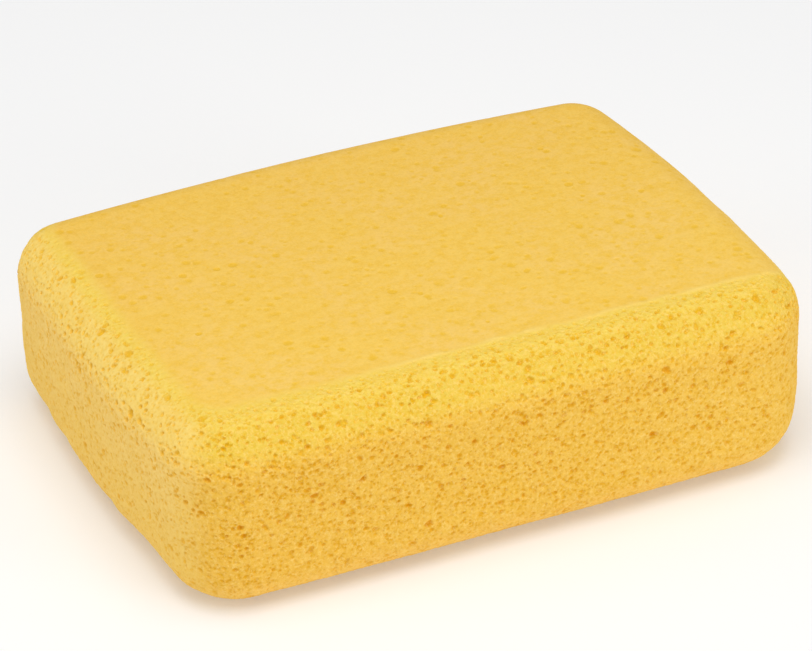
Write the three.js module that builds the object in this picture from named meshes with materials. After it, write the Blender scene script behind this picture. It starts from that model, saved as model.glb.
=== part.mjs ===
// Foam washing sponge: one block of open-cell foam, cut to a rounded
// rectangle and ground to a soft radius all round its two flat faces.
//
// Millimetres, +Z up. The origin is at the centre of the underside, so the
// block rests on Z = 0. +X runs along the length, +Y across the width.

import * as THREE from 'three';

// ---- driving dimensions (mm) ----
const LENGTH = 190;            // overall, along X, at the middle of the bowed ends
const WIDTH = 144;             // overall, along Y, at the middle of the bowed sides
const THICKNESS = 54;          // along Z, flat face to flat face
const EDGE_RADIUS = 13;        // ground radius between the flat faces and the sides
const CORNER_RADIUS = 15.5;    // the four upright corners, seen from above
const LONG_SIDE_BOW = 2.6;     // how far each long side stands out at its middle
const SHORT_SIDE_BOW = 4.1;    // how far each end stands out at its middle

// ---- how finely the curves are divided ----
const CORNER_STEPS = 10;
const SIDE_STEPS = 12;
const EDGE_STEPS = 8;
const WALL_STEPS = 2;

// The outline of the block seen from above: straight sides and quarter-round
// corners, then swelled so that every side bows out towards its middle.
function outline() {
  const a = LENGTH / 2 - SHORT_SIDE_BOW;
  const b = WIDTH / 2 - LONG_SIDE_BOW;
  const corners = [
    { x: -1, y: -1, from: Math.PI },
    { x: 1, y: -1, from: 1.5 * Math.PI },
    { x: 1, y: 1, from: 0 },
    { x: -1, y: 1, from: 0.5 * Math.PI },
  ];
  const points = [];
  corners.forEach((corner, k) => {
    const cx = corner.x * (a - CORNER_RADIUS);
    const cy = corner.y * (b - CORNER_RADIUS);
    for (let i = 0; i <= CORNER_STEPS; i++) {
      const t = corner.from + (Math.PI / 2) * (i / CORNER_STEPS);
      points.push(new THREE.Vector2(
        cx + CORNER_RADIUS * Math.cos(t),
        cy + CORNER_RADIUS * Math.sin(t),
      ));
    }
    const next = corners[(k + 1) % 4];
    const start = points[points.length - 1].clone();
    const end = new THREE.Vector2(
      next.x * (a - CORNER_RADIUS) + CORNER_RADIUS * Math.cos(next.from),
      next.y * (b - CORNER_RADIUS) + CORNER_RADIUS * Math.sin(next.from),
    );
    for (let i = 1; i < SIDE_STEPS; i++) {
      points.push(start.clone().lerp(end, i / SIDE_STEPS));
    }
  });
  return points.map((p) => new THREE.Vector2(
    p.x * (1 + (SHORT_SIDE_BOW / a) * (1 - (p.y / b) ** 2)),
    p.y * (1 + (LONG_SIDE_BOW / b) * (1 - (p.x / a) ** 2)),
  ));
}

// The block itself: the outline drawn up through the thickness, with the
// edge radius running inwards from it at the top and at the bottom.
function foamBlock() {
  const geometry = new THREE.ExtrudeGeometry(new THREE.Shape(outline()), {
    depth: THICKNESS - 2 * EDGE_RADIUS,
    steps: WALL_STEPS,
    bevelEnabled: true,
    bevelThickness: EDGE_RADIUS,
    bevelSize: EDGE_RADIUS,
    bevelOffset: -EDGE_RADIUS,
    bevelSegments: EDGE_STEPS,
    curveSegments: 1,
  });
  geometry.translate(0, 0, EDGE_RADIUS);
  return geometry;
}

const yellowFoam = new THREE.MeshStandardMaterial({
  name: 'yellow_foam',
  color: new THREE.Color(0.95, 0.76, 0.31),
  roughness: 0.95,
  metalness: 0,
});

const block = new THREE.Mesh(foamBlock(), yellowFoam);
block.name = 'foam_block';

const sponge = new THREE.Group();
sponge.name = 'foam_sponge';
sponge.add(block);

export default sponge;
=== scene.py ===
import math
import bpy
import numpy as np
from mathutils import Matrix, Vector


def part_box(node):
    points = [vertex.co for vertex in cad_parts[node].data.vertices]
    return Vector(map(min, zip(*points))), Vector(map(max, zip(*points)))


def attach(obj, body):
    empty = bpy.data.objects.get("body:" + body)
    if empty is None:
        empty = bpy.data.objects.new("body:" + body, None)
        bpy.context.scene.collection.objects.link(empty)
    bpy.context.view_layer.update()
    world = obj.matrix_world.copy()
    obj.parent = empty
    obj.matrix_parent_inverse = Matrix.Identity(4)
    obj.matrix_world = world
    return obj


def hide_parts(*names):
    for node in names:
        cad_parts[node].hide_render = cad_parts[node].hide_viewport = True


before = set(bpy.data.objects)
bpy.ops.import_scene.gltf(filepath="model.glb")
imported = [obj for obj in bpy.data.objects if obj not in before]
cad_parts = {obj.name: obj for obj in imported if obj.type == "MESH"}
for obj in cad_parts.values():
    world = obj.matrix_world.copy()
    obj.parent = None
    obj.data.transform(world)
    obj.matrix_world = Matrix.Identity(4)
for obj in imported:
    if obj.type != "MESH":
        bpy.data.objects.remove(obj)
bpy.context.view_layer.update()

MM = 0.001

# ---------------------------------------------------------------------------
# The foam block
# ---------------------------------------------------------------------------
lo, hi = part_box("foam_block")
LENGTH = (hi[0] - lo[0]) / MM
WIDTH = (hi[1] - lo[1]) / MM
THICK = (hi[2] - lo[2]) / MM

STEP = 0.20            # mm between neighbouring vertices
EDGE_R = 12.9          # radius ground along the top and bottom edges
# the block was cut and ground by hand, so its corners, the bow of its sides and their lean differ a little
CORNER_R = {(-1, -1): 16.4, (1, -1): 19.3, (1, 1): 13.2, (-1, 1): 13.2}
HALF_X = LENGTH / 2 - 4.1
HALF_Y = WIDTH / 2 - 2.6
HALF_Z = THICK / 2
BOW = {"left": 3.8, "right": 4.5, "front": 0.9, "back": 5.4}
PULL_LOW = {"left": 1.7, "right": 1.7, "front": 0.4, "back": 1.0}
PULL_HIGH = {"left": 0.5, "right": -0.8, "front": 0.0, "back": -0.3}


def axis_points(half, zone, step):
    """Coordinates from -half to half, even along the middle and spaced by angle over the two rounded zones."""
    n_edge = max(3, int(round(zone * math.pi / 4 / step)))
    n_mid = max(2, int(round(2 * (half - zone) / step)))
    t = np.arange(1, n_edge + 1) / n_edge
    edge = (half - zone) + zone * np.tan(t * math.pi / 4)
    mid = np.linspace(-(half - zone), half - zone, n_mid + 1)
    return np.concatenate([-edge[::-1], mid, edge])


def build_grid():
    """A closed grid over a box: positions, all its small quads for working out normals, and the faces to keep as flat
    lists of corners, UVs and corner counts, with a UV island for each side. The underside's middle, which shows least,
    is made of cells twice as wide, whose outer ones take in the small cells' corners so that nothing is left open."""
    X = axis_points(HALF_X, EDGE_R, STEP)
    Y = axis_points(HALF_Y, EDGE_R, STEP)
    Z = axis_points(HALF_Z, EDGE_R, STEP)
    nx, ny, nz = len(X) - 1, len(Y) - 1, len(Z) - 1
    pos = []
    count = 0

    def take(n):
        nonlocal count
        start = count
        count += n
        return np.arange(start, start + n)

    def put(x, y, z):
        pos.append(np.stack(np.broadcast_arrays(x, y, z), -1).reshape(-1, 3))

    bottom = take((nx + 1) * (ny + 1)).reshape(nx + 1, ny + 1)
    put(X[:, None], Y[None, :], np.full((1, 1), Z[0]))
    top = take((nx + 1) * (ny + 1)).reshape(nx + 1, ny + 1)
    put(X[:, None], Y[None, :], np.full((1, 1), Z[-1]))
    front = np.empty((nx + 1, nz + 1), np.int64)
    back = np.empty((nx + 1, nz + 1), np.int64)
    for grid, j in ((front, 0), (back, ny)):
        grid[:, 0] = bottom[:, j]
        grid[:, nz] = top[:, j]
        grid[:, 1:nz] = take((nx + 1) * (nz - 1)).reshape(nx + 1, nz - 1)
        put(X[:, None], np.full((1, 1), Y[j]), Z[None, 1:nz])
    left = np.empty((ny + 1, nz + 1), np.int64)
    right = np.empty((ny + 1, nz + 1), np.int64)
    for grid, i in ((left, 0), (right, nx)):
        grid[:, 0] = bottom[i, :]
        grid[:, nz] = top[i, :]
        grid[0, :] = front[i, :]
        grid[ny, :] = back[i, :]
        grid[1:ny, 1:nz] = take((ny - 1) * (nz - 1)).reshape(ny - 1, nz - 1)
        put(np.full((1, 1), X[i]), Y[1:ny, None], Z[None, 1:nz])
    pos = np.concatenate(pos)

    # arc lengths along each axis set the island sizes
    def arc(P, half):
        zone = half - EDGE_R
        out = np.clip(P, -zone, zone)
        ang = np.arctan((np.abs(P) - zone).clip(0) / EDGE_R)
        return out + np.sign(P) * ang * EDGE_R

    ax, ay, az = arc(X, HALF_X), arc(Y, HALF_Y), arc(Z, HALF_Z)
    ax, ay, az = ax - ax[0], ay - ay[0], az - az[0]
    gap = 3.0
    LX, LY, LZ = ax[-1], ay[-1], az[-1]
    side = max(2 * LY + 3 * gap, LX + 3 * LZ + 5 * gap)

    quads, corners, uvs, counts = [], [], [], []

    def face(grid, U, V, flip, u0, v0, swap=False, wide=None):
        UU, VV = np.meshgrid(U, V, indexing="ij")
        if swap:
            UU, VV = VV, UU
        uv = np.stack([(UU + u0) / side, (VV + v0) / side], -1)
        ring = [(0, 0), (1, 0), (1, 1), (0, 1)]
        if flip:
            ring = ring[::-1]
        n, m = grid.shape[0] - 1, grid.shape[1] - 1
        q = np.stack([grid[a:n + a, b:m + b] for a, b in ring], -1)
        w = np.stack([uv[a:n + a, b:m + b] for a, b in ring], -2)
        quads.append(q.reshape(-1, 4))
        keep = np.ones((n, m), bool)
        if wide:
            i0, i1, j0, j1 = wide
            keep[i0:i1, j0:j1] = False
        q, w = q[keep], w[keep]
        corners.append(q.ravel())
        uvs.append(w.reshape(-1, 2))
        counts.append(np.full(len(q), 4))
        if wide:
            I, J = (v.ravel() for v in np.meshgrid(np.arange(i0, i1, 2), np.arange(j0, j1, 2), indexing="ij"))
            yes = np.ones(len(I), bool)
            ring = [((0, 0), yes), ((1, 0), J == j0), ((2, 0), yes), ((2, 1), I + 2 == i1),
                    ((2, 2), yes), ((1, 2), J + 2 == j1), ((0, 2), yes), ((0, 1), I == i0)]
            if flip:
                ring = ring[::-1]
            used = np.stack([m for _, m in ring], 1)
            q = np.stack([grid[I + a, J + b] for (a, b), _ in ring], 1)
            w = np.stack([uv[I + a, J + b] for (a, b), _ in ring], 1)
            corners.append(q[used])
            uvs.append(w[used])
            counts.append(used.sum(1))

    margin = 6.0
    inner = []
    for P, half in ((X, HALF_X), (Y, HALF_Y)):
        k = np.nonzero(np.abs(P) < half - EDGE_R - margin)[0]
        a, b = k[0], k[-1]
        inner += [a, b - (b - a) % 2]
    face(top, ax, ay, False, gap, gap, swap=True)
    face(bottom, ax, ay, True, LY + 2 * gap, gap, swap=True, wide=inner)
    row = LX + 2 * gap
    face(front, ax, az, False, gap, row)
    face(back, ax, az, True, gap, row + LZ + gap)
    face(left, ay, az, True, gap, row + 2 * (LZ + gap))
    face(right, ay, az, False, LY + 2 * gap, row + 2 * (LZ + gap))
    return pos, np.concatenate(quads), np.concatenate(corners), np.concatenate(uvs), np.concatenate(counts)


def nearest_in_core(x, y, hx, hy, radii):
    """Closest point of a rounded rectangle (its inside too) to each point, in plan."""
    cx, cy = np.clip(x, -hx, hx), np.clip(y, -hy, hy)
    for (sx, sy), r in radii.items():
        px, py = sx * (hx - r), sy * (hy - r)
        m = (sx * cx > hx - r) & (sy * cy > hy - r)
        # measured from the corner's centre
        dx, dy = x[m] - px, y[m] - py
        d = np.hypot(dx, dy)
        k = np.minimum(1.0, r / np.maximum(d, 1e-9))
        cx[m], cy[m] = px + dx * k, py + dy * k
    return cx, cy


def rounded(q):
    """Box points to the rounded block: its core's nearest point, and out by the edge radius."""
    core = {k: max(r - EDGE_R, 0.3) for k, r in CORNER_R.items()}
    kx, ky = nearest_in_core(q[:, 0], q[:, 1], HALF_X - EDGE_R, HALF_Y - EDGE_R, core)
    kz = np.clip(q[:, 2], -(HALF_Z - EDGE_R), HALF_Z - EDGE_R)
    k = np.stack([kx, ky, kz], 1)
    n = q - k
    n /= np.linalg.norm(n, axis=1)[:, None]
    p = k + EDGE_R * n
    x, y, z = p[:, 0], p[:, 1], p[:, 2]
    low, high = (np.clip(-z, 0, None) / HALF_Z) ** 2, (np.clip(z, 0, None) / HALF_Z) ** 2

    def reach(v, across, half, across_half, full, minus, plus):
        pick = lambda table: np.where(v < 0, table[minus], table[plus])
        bow = pick(BOW)
        return v / half * (full - bow * (across / across_half) ** 2 - pick(PULL_LOW) * low - pick(PULL_HIGH) * high)

    return np.stack([reach(x, y, HALF_X, HALF_Y, LENGTH / 2, "left", "right"),
                     reach(y, x, HALF_Y, HALF_X, WIDTH / 2, "front", "back"), z + HALF_Z], 1)


def vertex_normals(p, quads):
    a, b, c, d = (p[quads[:, i]] for i in range(4))
    f = np.cross(c - a, d - b)
    n = np.empty_like(p)
    flat = quads.ravel()
    for i in range(3):
        n[:, i] = np.bincount(flat, weights=np.repeat(f[:, i], 4), minlength=len(p))
    return n / np.linalg.norm(n, axis=1)[:, None]


def smooth(e0, e1, x):
    t = np.clip((x - e0) / (e1 - e0), 0, 1)
    return t * t * (3 - 2 * t)


ORIGIN = np.array([-LENGTH / 2 - 8, -WIDTH / 2 - 8, -8.0])
EXTENT = np.array([LENGTH + 16, WIDTH + 16, THICK + 16])


def noise(p, scale, seed):
    """Smooth value noise in -1..1, with features about `scale` mm across."""
    rng = np.random.default_rng(seed)
    size = np.ceil(EXTENT / scale).astype(int) + 3
    table = (rng.random(size) * 2 - 1).astype(np.float32)
    g = ((p - ORIGIN) / scale).astype(np.float32)
    i = np.floor(g).astype(np.int32)
    f = g - i
    f = f * f * (3 - 2 * f)
    flat = table.ravel()
    base = (i[:, 0] * size[1] + i[:, 1]) * size[2] + i[:, 2]
    sx, sy = int(size[1] * size[2]), int(size[2])
    out = np.zeros(len(p), np.float32)
    for dx in (0, 1):
        wx = f[:, 0] if dx else 1 - f[:, 0]
        for dy in (0, 1):
            wxy = wx * (f[:, 1] if dy else 1 - f[:, 1])
            for dz in (0, 1):
                wz = f[:, 2] if dz else 1 - f[:, 2]
                out += wxy * wz * flat[base + dx * sx + dy * sy + dz]
    return out


def warped(p, amount, scale, seed):
    """Points pushed about by noise, so that cells looked up there lose their perfect roundness."""
    return p + amount * np.stack([noise(p, scale, seed + k) for k in range(3)], 1)


def bubbles(p, spacing, r_lo, r_hi, share, seed, skew=1.6):
    """Round cells scattered through the foam, one at most to each box of `spacing` mm.
    Returns how far inside a cell each point is, 0 at its wall and 1 at its centre, and that cell's radius."""
    rng = np.random.default_rng(seed)
    size = np.ceil(EXTENT / spacing).astype(int) + 4
    centre = rng.random((*size, 3)).astype(np.float32)
    radius = (r_lo + (r_hi - r_lo) * rng.random(size) ** skew).astype(np.float32)
    radius[rng.random(size) > share] = 0
    centre, radius = centre.reshape(-1, 3), radius.ravel()
    g = ((p - ORIGIN) / spacing + 1).astype(np.float32)
    base = np.floor(g - 0.5).astype(np.int32)
    best = np.zeros(len(p), np.float32)
    size_of = np.zeros(len(p), np.float32)
    for dx in (0, 1):
        for dy in (0, 1):
            for dz in (0, 1):
                i, j, k = base[:, 0] + dx, base[:, 1] + dy, base[:, 2] + dz
                at = (i * int(size[1]) + j) * int(size[2]) + k
                r = radius[at]
                c = centre[at]
                d2 = (((g[:, 0] - i - c[:, 0]) ** 2 + (g[:, 1] - j - c[:, 1]) ** 2 + (g[:, 2] - k - c[:, 2]) ** 2)
                      * np.float32(spacing * spacing))
                depth = np.where(r > 0, 1 - d2 / np.maximum(r * r, 1e-9), 0)
                # a big cell beats a small one at the same depth
                m = depth * r > best * size_of
                best[m], size_of[m] = depth[m], r[m]
    return best, size_of


def bowls(p, spacing, r_lo, r_hi, share, seed, deep, power=0.75, skew=1.6):
    """Depth in mm of the hollows that those cells leave in a cut surface."""
    d, r = bubbles(p, spacing, r_lo, r_hi, share, seed, skew)
    return deep * r * np.clip(d, 0, 1) ** power


def make_sponge():
    q, quads, corners, uvs, counts = build_grid()
    p = rounded(q)
    n = vertex_normals(p, quads)
    del quads
    used = np.zeros(len(p), bool)
    used[corners] = True
    corners = (np.cumsum(used) - 1)[corners]
    p, n = p[used], n[used]

    upright = 1 - np.abs(n[:, 2])                 # 0 on the flat faces, 1 on the sides
    side = smooth(0.05, 0.6, upright)

    # --- where the flat faces' smooth cut surface gives way to open cells ---
    wander = 0.50 * noise(p, 18, 11) + 0.42 * noise(p, 8.5, 14) + 0.38 * noise(p, 4.2, 12)
    outline_back = WIDTH / 2 - BOW["back"] * (p[:, 0] / HALF_X) ** 2
    outline_right = LENGTH / 2 - BOW["right"] * (p[:, 1] / HALF_Y) ** 2
    round_in = lambda degrees: EDGE_R * (1 - math.sin(math.radians(degrees)))
    across = np.maximum(-81.2 - p[:, 0], p[:, 0] - outline_right + round_in(58))
    along = np.maximum(-54.0 - p[:, 1], p[:, 1] - outline_back + round_in(42))
    turn = 9.0                                    # radius of that line where it turns a corner
    past_top = np.where((across > -turn) & (along > -turn),
                        np.hypot(across + turn, along + turn) - turn, np.maximum(across, along)) + wander
    # underneath, the edge is ground alike all round
    past_under = np.maximum.reduce([
        np.abs(p[:, 0]) - (LENGTH / 2 - EDGE_R * 0.9), np.abs(p[:, 1]) - (WIDTH / 2 - EDGE_R * 0.9)]) + wander
    upper = smooth(THICK * 0.42, THICK * 0.58, p[:, 2])
    past = past_top * upper + past_under * (1 - upper)
    past = np.where(upright > 0.7, np.maximum(past, 12 * smooth(0.7, 0.95, upright)), past)
    # the change is gradual round the left, and quick with a faint pale ridge along the rest of the front
    gradual = np.maximum(smooth(-7.0, 7.0, across - along) * smooth(20.0, -20.0, p[:, 0]), 0.95 * smooth(-15.0, -58.0, p[:, 0]))
    width = 1.0 + 1.8 * gradual
    openness = smooth(-1.0, 1.0, (past - 0.1) / width)
    ripe = smooth(-0.5, 7.0, past)                # cells stand out more and more away from the smooth face
    lip = np.exp(-((past - 0.1) / 1.0) ** 2) * (1 - gradual)
    lip *= np.clip(0.85 + 0.75 * noise(p, 5.5, 13), 0, 1.4)

    # --- the block's own unevenness, from cutting and grinding soft foam ---
    sway = 0.30 * noise(p, 34, 21) + 0.22 * noise(p, 13, 22) * side + 0.12 * noise(p, 6, 23) * openness
    sway += 0.34 * noise(p, 8.5, 25) * smooth(0.35, -0.25, n[:, 2]) * (0.35 + 0.65 * smooth(0.2, 0.8, -n[:, 0]))
    lift = sway * smooth(0.02, 0.35, upright)
    lift -= 0.12 * (1 - smooth(0.0, 0.3, upright)) * (1 + noise(p, 26, 24)) * (n[:, 2] > 0)

    # --- cells ---
    rough = np.nonzero(openness > 0)[0]
    a = p[rough]
    w1 = warped(a, 0.19, 0.75, 51)
    w2 = warped(a, 0.42, 1.7, 55) + (w1 - a)
    w2[:, 2] *= 1.2                               # cells lie a little flat, as the bun rose
    fine = bowls(w1, 0.72, 0.24, 0.42, 0.9, 31, 0.57, 1.0, 1.0)
    small = bowls(w1 + 0.37, 1.12, 0.38, 0.64, 1.0, 32, 0.77, 1.0)
    medium = np.maximum(bowls(w2, 1.85, 0.52, 0.90, 0.72, 33, 0.85, 1.0), bowls(w2 + 0.9, 2.8, 0.75, 1.20, 0.42, 35, 0.83, 1.0))
    large = bowls(w2, 5.5, 0.90, 1.55, 0.22, 34, 0.88, 0.9)
    ra, oa = ripe[rough], openness[rough]
    # grinding has closed the smallest cells a little along the top edge and over the left end
    ground, end = smooth(0.2, 0.8, n[rough, 2]), smooth(0.55, 0.95, -n[rough, 0])
    little = (0.35 + 0.65 * ra) * (1 - 0.20 * ground - 0.28 * end)
    big = (0.30 + 0.70 * ra) * (1 + 0.22 * ground)
    patchy = 1 + 0.22 * noise(a, 4.5, 43)
    open_pit = np.maximum.reduce([fine * little, small * little, medium * big * patchy, large * (0.55 + 0.45 * ra)])
    fuzz = (0.085 * noise(a, 1.4, 44) + 0.062 * noise(a, 0.8, 41) + 0.036 * noise(a, 0.45, 42)) * (1 + 0.3 * ground)

    # the smooth faces show the same cells only as faint dimples
    flat = np.nonzero(openness < 1)[0]
    b = p[flat]
    w3 = 0.85 * warped(b, 0.30, 1.6, 61)
    soft = bowls(w3, 2.2, 0.55, 1.05, 0.66, 71, 1.0, 0.9)
    soft2 = bowls(w3 + 0.8, 3.4, 0.8, 1.35, 0.6, 72, 1.0, 0.9)
    spot = bowls(w3, 6.4, 0.8, 1.30, 0.28, 73, 1.0, 0.8)
    speck = np.zeros(len(p), np.float32)
    speck[flat] = np.clip(np.maximum.reduce([soft * 0.50, soft2 * 0.55, spot * 0.95]), 0, 1)

    pit = speck * 0.22 * (1 - openness)
    # and the cut sides are not equally open: least to the right of the front, low down and on the upright corner
    height = a[:, 2]
    facing = smooth(0.5, 0.9, -n[rough, 1])
    upright_corner = smooth(0.2, 0.6, -n[rough, 0]) * smooth(0.2, 0.6, -n[rough, 1])
    open_pit *= (1 - facing * (0.10 + 0.09 * smooth(0.0, 70.0, a[:, 0]) + 0.11 * smooth(27.0, 12.0, height))) * (1 - 0.14 * upright_corner)
    open_pit *= 1 - 0.17 * smooth(0.30, 0.75, -n[rough, 0]) * (1 - upright_corner)
    open_pit *= 1 + end * (0.42 * smooth(30.0, 44.0, height) - 0.11 - 0.05 * smooth(26.0, 12.0, height))
    fuzz *= (1 - 0.35 * gradual[rough] * (1 - ra)) * (1 - 0.25 * end)
    pit[rough] += open_pit * oa
    bump = np.zeros(len(p), np.float32)
    bump[rough] = fuzz * oa
    p = p + n * (lift + bump - pit + 0.10 * lip)[:, None]
    p[:, 2] = np.maximum(p[:, 2], 0.0)
    print("sponge vertices", len(p), "faces", len(counts))

    mesh = bpy.data.meshes.new("sponge_body")
    mesh.vertices.add(len(p))
    mesh.vertices.foreach_set("co", (p * MM).astype(np.float32).ravel())
    mesh.loops.add(len(corners))
    mesh.loops.foreach_set("vertex_index", corners.astype(np.int32))
    mesh.polygons.add(len(counts))
    mesh.polygons.foreach_set("loop_start", (np.cumsum(counts) - counts).astype(np.int32))
    mesh.polygons.foreach_set("loop_total", counts.astype(np.int32))
    mesh.update(calc_edges=True)
    mesh.polygons.foreach_set("use_smooth", np.ones(len(counts), bool))
    layer = mesh.uv_layers.new(name="OFBake")
    layer.data.foreach_set("uv", uvs.astype(np.float32).ravel())

    def attribute(name, values):
        a = mesh.attributes.new(name, "FLOAT", "POINT")
        a.data.foreach_set("value", values.astype(np.float32))

    attribute("pit", np.clip((pit - bump + 0.04) / 0.84, 0, 1))
    attribute("speck", speck)
    attribute("openness", openness)
    # edge: the rounded edges facing up, painted yellower and darker; the darkening is painted shade
    attribute("edge", smooth(0.10, 0.70, n[:, 2]))
    # under_edge_painted_sheen: the rounded edges facing down, painted paler, a painted sheen
    attribute("under_edge_painted_sheen", smooth(0.10, 0.80, -n[:, 2]))
    # front: the faces turned to the front, whose colour is painted deeper and more orange, painted light
    attribute("front", smooth(0.08, 0.66, -n[:, 1]))
    level = np.hypot(n[:, 0], n[:, 1])
    # left: the left end, whose colour is painted paler and bluer, a painted sheen
    attribute("left", smooth(0.57, 0.98, -n[:, 0] / np.maximum(level, 1e-6)) * smooth(0.05, 0.35, level))
    # brow: open cells facing straight up, painted lighter than the other upward-facing edges, painted light
    attribute("brow_painted_light", smooth(0.84, 1.0, n[:, 2]))
    # forward: how far toward the front; the smooth faces are painted duller toward the back, painted shade
    attribute("forward_painted_light", np.clip((50.0 - p[:, 1]) / 105.0, 0, 1))
    # along: from the left end to the right; the front's colour is painted darker toward the left, painted shade
    attribute("along", np.clip(0.5 + p[:, 0] / LENGTH, 0, 1))
    # low: rises toward the floor; the left end is painted darker there, painted shade
    attribute("low", smooth(46.0, 16.0, p[:, 2]))
    attribute("lip", lip)
    mesh.update()
    obj = bpy.data.objects.new("sponge_body", mesh)
    bpy.context.scene.collection.objects.link(obj)
    return obj


# ---------------------------------------------------------------------------
# Materials
# ---------------------------------------------------------------------------
class Nodes:
    def __init__(self, material):
        material.use_nodes = True
        self.tree = material.node_tree
        self.tree.nodes.clear()

    def new(self, kind, **values):
        node = self.tree.nodes.new(kind)
        for key, value in values.items():
            setattr(node, key, value)
        return node

    def link(self, a, b):
        self.tree.links.new(a, b)

    def math(self, op, a, b=None, clamp=False):
        node = self.new("ShaderNodeMath", operation=op, use_clamp=clamp)
        for socket, value in zip(node.inputs, (a, b)):
            if value is None:
                continue
            if isinstance(value, (int, float)):
                socket.default_value = value
            else:
                self.link(value, socket)
        return node.outputs[0]

    def mix(self, factor, a, b, blend="MIX"):
        node = self.new("ShaderNodeMix", data_type="RGBA", blend_type=blend, clamp_factor=True)
        for socket, value in ((node.inputs[0], factor), (node.inputs[6], a), (node.inputs[7], b)):
            if isinstance(value, (int, float)):
                socket.default_value = value
            elif isinstance(value, tuple):
                socket.default_value = (*value, 1.0)
            else:
                self.link(value, socket)
        return node.outputs[2]

    def attribute(self, name):
        return self.new("ShaderNodeAttribute", attribute_name=name).outputs["Fac"]


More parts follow.
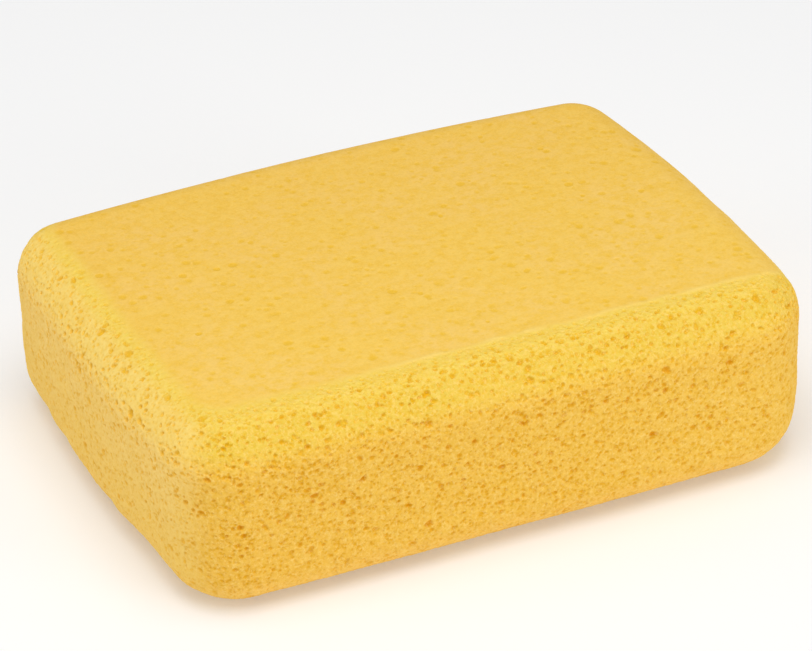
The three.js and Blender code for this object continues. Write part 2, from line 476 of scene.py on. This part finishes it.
def foam_material():
    mat = bpy.data.materials.new("yellow_foam")
    g = Nodes(mat)
    out = g.new("ShaderNodeOutputMaterial")
    bsdf = g.new("ShaderNodeBsdfPrincipled")
    g.link(bsdf.outputs[0], out.inputs[0])
    coord = g.new("ShaderNodeTexCoord").outputs["Object"]

    def tex(scale, detail=2.0, rough=0.5):
        node = g.new("ShaderNodeTexNoise")
        g.link(coord, node.inputs["Vector"])
        node.inputs["Scale"].default_value = scale
        node.inputs["Detail"].default_value = detail
        node.inputs["Roughness"].default_value = rough
        return node.outputs["Fac"]

    def ramp(x, a, b):
        node = g.new("ShaderNodeMapRange", interpolation_type="SMOOTHSTEP")
        g.link(x, node.inputs[0])
        node.inputs[1].default_value, node.inputs[2].default_value = a, b
        return node.outputs[0]

    pit = g.attribute("pit")
    speck = g.attribute("speck")
    openness = g.attribute("openness")
    edge = g.attribute("edge")
    under_edge_painted_sheen = g.attribute("under_edge_painted_sheen")
    lip = g.attribute("lip")
    front = g.attribute("front")
    left = g.attribute("left")
    brow_painted_light = g.attribute("brow_painted_light")
    forward_painted_light = g.attribute("forward_painted_light")
    along = g.attribute("along")
    low = g.attribute("low")

    # painted light and shade by which way the surface faces: the front painted deeper in colour, its painted shade
    # growing toward the left; the left end painted palest, a painted sheen, and darker low down, painted shade; the
    # edges facing up yellower and painted darker, painted shade; the edges underneath painted paler, a painted sheen
    rim = g.mix(front, (0.94, 0.61, 0.130), g.mix(along, (0.862, 0.494, 0.071), (0.882, 0.542, 0.091)))
    # the left end painted paler, a painted sheen, and darker low down, painted shade
    rim = g.mix(left, rim, g.mix(low, (0.956, 0.660, 0.202), (0.920, 0.616, 0.152)))
    # the edges facing up: painted darker, painted shade, and paler at the left end, a painted sheen
    rim = g.mix(edge, rim, g.mix(left, g.mix(along, (0.793, 0.560, 0.074), (0.805, 0.575, 0.084)), (0.93, 0.685, 0.195)))
    # open cells facing straight up painted lighter, painted light
    rim = g.mix(brow_painted_light, rim, (0.885, 0.655, 0.115))
    # the edges underneath painted paler, a painted sheen, and darker at the left end, painted shade
    rim = g.mix(under_edge_painted_sheen, rim, g.mix(left, (0.94, 0.60, 0.150), (0.86, 0.545, 0.108)))
    # wall and deep: the sides and depths of the open cells, painted darker and more orange than their rims, painted
    # shade with the glow of light bounced inside them
    wall = g.mix(front, (0.86, 0.485, 0.040), g.mix(along, (0.775, 0.385, 0.009), (0.793, 0.424, 0.015)))
    wall = g.mix(left, wall, g.mix(low, (0.898, 0.526, 0.072), (0.868, 0.492, 0.056)))
    wall = g.mix(edge, wall, g.mix(left, (0.765, 0.473, 0.020), (0.85, 0.545, 0.075)))
    wall = g.mix(brow_painted_light, wall, (0.83, 0.55, 0.045))
    wall = g.mix(under_edge_painted_sheen, wall, (0.87, 0.490, 0.066))
    deep = g.mix(front, (0.79, 0.385, 0.004), (0.765, 0.338, 0.000))
    deep = g.mix(left, deep, (0.80, 0.450, 0.025))
    deep = g.mix(edge, deep, g.mix(left, (0.79, 0.480, 0.003), (0.80, 0.500, 0.025)))
    skin = g.mix(ramp(tex(42, 2), 0.35, 0.65), (0.944, 0.615, 0.150), (0.944, 0.615, 0.117))
    dull = (0.914, 0.564, 0.078)
    spot = (0.878, 0.520, 0.035)

    # painted shade: each cell darker and more orange the deeper it goes
    cells = g.mix(ramp(pit, 0.0, 0.42), rim, wall)
    cells = g.mix(ramp(pit, 0.42, 0.95), cells, deep)
    haze = ramp(tex(280, 4, 0.70), 0.38, 0.66)
    flat = g.mix(haze, skin, dull)
    # the faint dimples on the smooth faces painted darker, painted shade in them
    flat = g.mix(ramp(speck, 0.0, 0.65), flat, spot)
    # painted shade: the smooth faces darker toward the back
    flat = g.mix(1.0, flat, g.mix(forward_painted_light, (0.958, 0.924, 0.910), (1.0, 1.0, 1.0)), "MULTIPLY")
    colour = g.mix(openness, flat, cells)
    blotch = ramp(tex(95, 3), 0.35, 0.65)
    colour = g.mix(g.math("MULTIPLY", blotch, 0.20), colour, (0.90, 0.55, 0.070))
    fleck = g.math("SUBTRACT", openness, g.math("MULTIPLY", g.math("MULTIPLY", left, openness), 0.30))
    mottle = ramp(tex(900, 3, 0.6), 0.40, 0.66)
    colour = g.mix(g.math("MULTIPLY", g.math("MULTIPLY", mottle, fleck), 0.38), colour, (0.84, 0.465, 0.014))
    pale = ramp(tex(960, 3, 0.8), 0.48, 0.66)
    colour = g.mix(g.math("MULTIPLY", g.math("MULTIPLY", pale, fleck), 0.56), colour, (0.965, 0.68, 0.200))
    colour = g.mix(g.math("MULTIPLY", lip, 0.75), colour, (0.95, 0.67, 0.170))
    grain = ramp(tex(1100, 2, 0.8), 0.36, 0.64)
    colour = g.mix(g.math("MULTIPLY", g.math("SUBTRACT", 1.0, openness), 0.78), colour,
                   g.mix(grain, (0.93, 0.935, 0.93), (1.0, 1.0, 1.0)), "MULTIPLY")
    grainy = ramp(tex(2400, 2), 0.38, 0.68)
    grainy = g.math("MULTIPLY", grainy, g.math("SUBTRACT", 0.28, g.math("MULTIPLY", pit, 0.24)))
    colour = g.mix(grainy, colour, (0.94, 0.67, 0.150))
    g.link(colour, bsdf.inputs["Base Color"])

    bump = g.new("ShaderNodeBump")
    bump.inputs["Strength"].default_value = 0.35
    bump.inputs["Distance"].default_value = 0.00012
    g.link(tex(3200, 3, 0.6), bump.inputs["Height"])
    g.link(bump.outputs[0], bsdf.inputs["Normal"])
    bsdf.inputs["Roughness"].default_value = 0.75
    bsdf.inputs["Specular IOR Level"].default_value = 0.15
    bsdf.inputs["Subsurface Weight"].default_value = 0.0
    return mat


def floor_material():
    mat = bpy.data.materials.new("studio_floor")
    g = Nodes(mat)
    out = g.new("ShaderNodeOutputMaterial")
    bsdf = g.new("ShaderNodeBsdfPrincipled")
    g.link(bsdf.outputs[0], out.inputs[0])
    bsdf.inputs["Base Color"].default_value = (0.78, 0.78, 0.78, 1)
    bsdf.inputs["Emission Color"].default_value = (1, 1, 1, 1)
    bsdf.inputs["Emission Strength"].default_value = 0.20
    bsdf.inputs["Roughness"].default_value = 0.9
    bsdf.inputs["Specular IOR Level"].default_value = 0.1
    return mat


sponge = make_sponge()
sponge.data.materials.append(foam_material())
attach(sponge, "root")
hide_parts("foam_block")

# ---------------------------------------------------------------------------
# Studio: pale floor, soft light
# ---------------------------------------------------------------------------
bpy.ops.mesh.primitive_plane_add(size=12, location=(0, 0, 0))
floor = bpy.context.object
floor.name = "studio_floor"
floor.data.materials.append(floor_material())

world = bpy.data.worlds.new("studio")
bpy.context.scene.world = world
world.use_nodes = True
world.node_tree.nodes["Background"].inputs[0].default_value = (1, 1, 1, 1)
world.node_tree.nodes["Background"].inputs[1].default_value = 0.45


def softbox(name, at, aim, size, power, colour=(1, 1, 1)):
    data = bpy.data.lights.new(name, "AREA")
    data.shape = "RECTANGLE"
    data.size, data.size_y = size
    data.energy = power
    data.color = colour
    obj = bpy.data.objects.new(name, data)
    obj.location = at
    obj.rotation_euler = (Vector(aim) - Vector(at)).to_track_quat("-Z", "Y").to_euler()
    bpy.context.scene.collection.objects.link(obj)
    return obj


softbox("overhead", (-0.17, -0.30, 1.28), (0, 0, 0.02), (1.0, 1.0), 10.0)
softbox("front_right", (0.9, -1.4, 0.35), (0, 0, 0.02), (0.7, 0.7), 5.5)
softbox("front_low", (0.5, -1.5, 0.4), (0, 0, 0.02), (0.8, 0.8), 1.0)
softbox("side_fill", (-1.5, 0.1, 0.5), (0, 0, 0.02), (0.8, 0.8), 2.85)

scene = bpy.context.scene
scene.view_settings.view_transform = "Standard"
scene.view_settings.look = "None"

# ---------------------------------------------------------------------------
# Camera
# ---------------------------------------------------------------------------
AZIMUTH, ELEVATION, ROLL = -23.566, 30.305, -1.751
DISTANCE = 1.21657
FOCAL_PX = 4409.9
CENTRE_PX = (405.19, 337.31)

cam_data = bpy.data.cameras.new("camera")
cam_data.sensor_width = 36
cam_data.lens = FOCAL_PX * 36 / 812
cam_data.clip_end = 50
cam_data.clip_start = 0.05
cam = bpy.data.objects.new("camera", cam_data)
bpy.context.scene.collection.objects.link(cam)
scene.camera = cam

centre = Vector((0, 0, THICK * MM / 2))
a, e, r = (math.radians(v) for v in (AZIMUTH, ELEVATION, ROLL))
away = Vector((math.sin(a) * math.cos(e), -math.cos(a) * math.cos(e), math.sin(e)))
right = Vector((math.cos(a), math.sin(a), 0))
up = right.cross(-away)
right, up = right * math.cos(r) + up * math.sin(r), up * math.cos(r) - right * math.sin(r)
# turn the view a fraction of a degree, so the block's centre sits where it should in the frame
dx = (CENTRE_PX[0] - 406) / FOCAL_PX
dy = (325.5 - CENTRE_PX[1]) / FOCAL_PX
look = (-away - right * dx - up * dy).normalized()
right = (right - look * right.dot(look)).normalized()
up = right.cross(look)
rotation = Matrix((right, up, -look)).transposed()
cam.matrix_world = Matrix.Translation(centre + away * DISTANCE) @ rotation.to_4x4()

bpy.context.view_layer.update()
